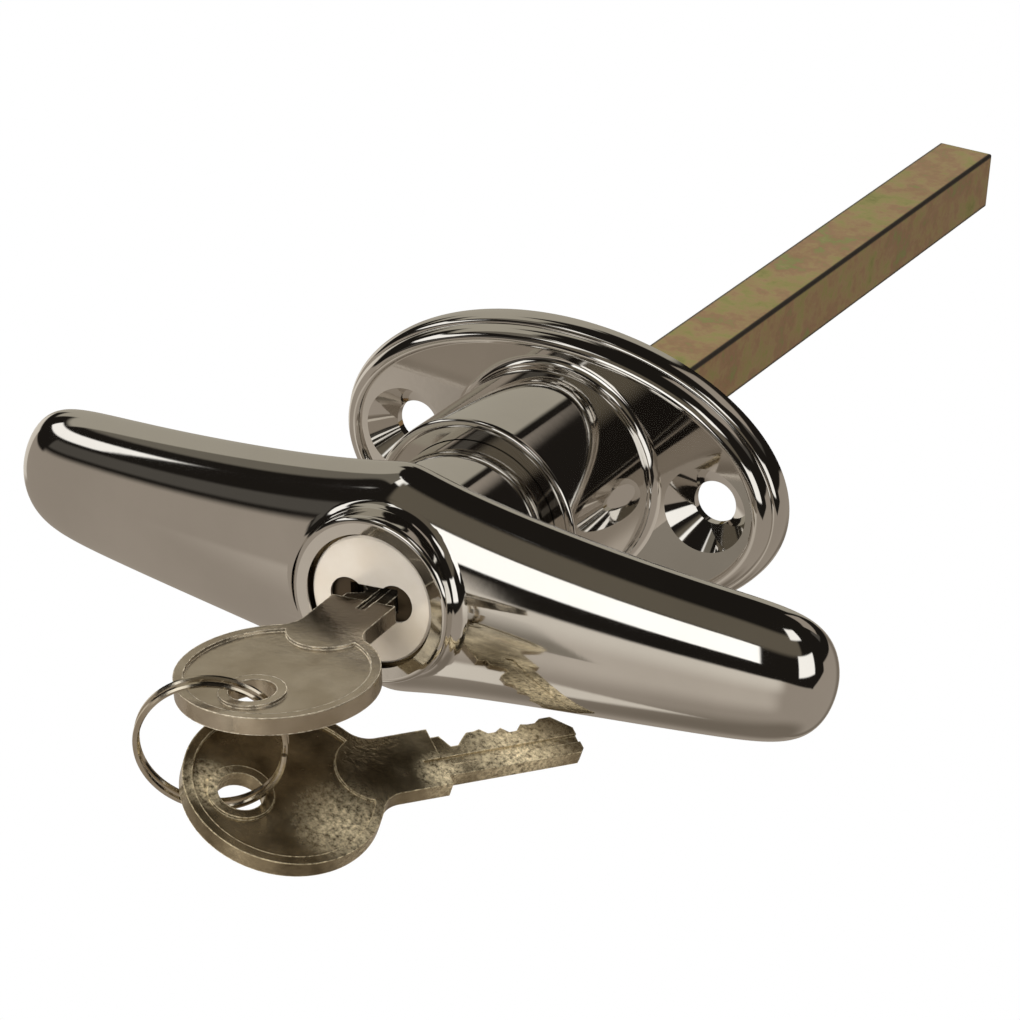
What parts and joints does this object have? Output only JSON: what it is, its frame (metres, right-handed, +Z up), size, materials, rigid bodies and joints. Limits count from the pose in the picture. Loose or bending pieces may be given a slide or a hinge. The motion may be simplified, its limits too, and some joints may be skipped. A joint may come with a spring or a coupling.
{
  "type": "locking t-handle",
  "caption": "Locking T-handle for a door or hatch: a bow shaped grip with a key lock in its middle, turning in an oval screwed rose and driving a square spindle, with keys on a split ring.",
  "frame": {"origin": "centre of the rose's back face, on the spindle's axis", "axes": "+X along the grip, +Y along the spindle into the door, +Z up"},
  "size_m": [0.1036, 0.2043, 0.0375],
  "materials": {
    "chrome_casting": "polished chrome plate on a zinc casting",
    "yellow_zinc_steel": "yellow passivated zinc plate",
    "pin_steel": "ground steel",
    "washer_steel": "pressed steel",
    "spring_steel": "spring steel",
    "lock_brass": "turned brass",
    "plug_metal": "nickel plated",
    "wafer": "stamped brass",
    "bolt_steel": "bright steel",
    "key_metal": "nickel plated",
    "ring_steel": "nickel plated wire"
  },
  "bodies": {
    "base": {"rose": "chrome_casting", "thrust_washer": "washer_steel"},
    "handle": {"handle": "chrome_casting", "spindle": "yellow_zinc_steel", "spindle_pin": "pin_steel", "spring_washer": "spring_steel", "retaining_ring": "spring_steel", "lock_barrel": "lock_brass", "barrel_pin": "pin_steel"},
    "plug": {"lock_plug": "plug_metal", "plug_clip": "spring_steel", "wafer_1": "wafer", "wafer_2": "wafer", "wafer_3": "wafer", "wafer_4": "wafer", "wafer_5": "wafer", "wafer_spring_1": "spring_steel", "wafer_spring_2": "spring_steel", "wafer_spring_3": "spring_steel", "wafer_spring_4": "spring_steel", "wafer_spring_5": "spring_steel"},
    "bolt": {"lock_bolt": "bolt_steel"},
    "key": {"working_key": "key_metal"},
    "ring": {"key_ring": "ring_steel"},
    "spare": {"spare_key": "key_metal"}
  },
  "joints": [
    {"name": "handle_turn", "type": "hinge", "parent": "base", "child": "handle", "pos_m": [0, 0, 0], "axis": [0, 1, 0], "range_deg": [-90, 90]},
    {"name": "key_turn", "type": "hinge", "parent": "handle", "child": "plug", "pos_m": [0, -0.0478, 0], "axis": [0, 1, 0], "range_deg": [0, 90]},
    {"name": "bolt_slide", "type": "slide", "parent": "handle", "child": "bolt", "axis": [0, 0, -1], "range_m": [0, 0.0018]},
    {"name": "key_withdraw", "type": "slide", "parent": "plug", "child": "key", "axis": [0, -1, 0], "range_m": [0, 0.018]},
    {"name": "ring_swing", "type": "hinge", "parent": "key", "child": "ring", "pos_m": [0, -0.07309, -0.00172], "axis": [-0.0941, -0.0521, 0.9942], "range_deg": [-12, 0]},
    {"name": "spare_swing", "type": "hinge", "parent": "ring", "child": "spare", "pos_m": [-0.00141, -0.07259, -0.01429], "axis": [0.3127, -0.2206, 0.9239], "range_deg": [-60, 0]}
  ],
  "couplings": [
    {"joint": "bolt_slide", "follows": "key_turn", "m_per_rad": 0.0011459}
  ]
}
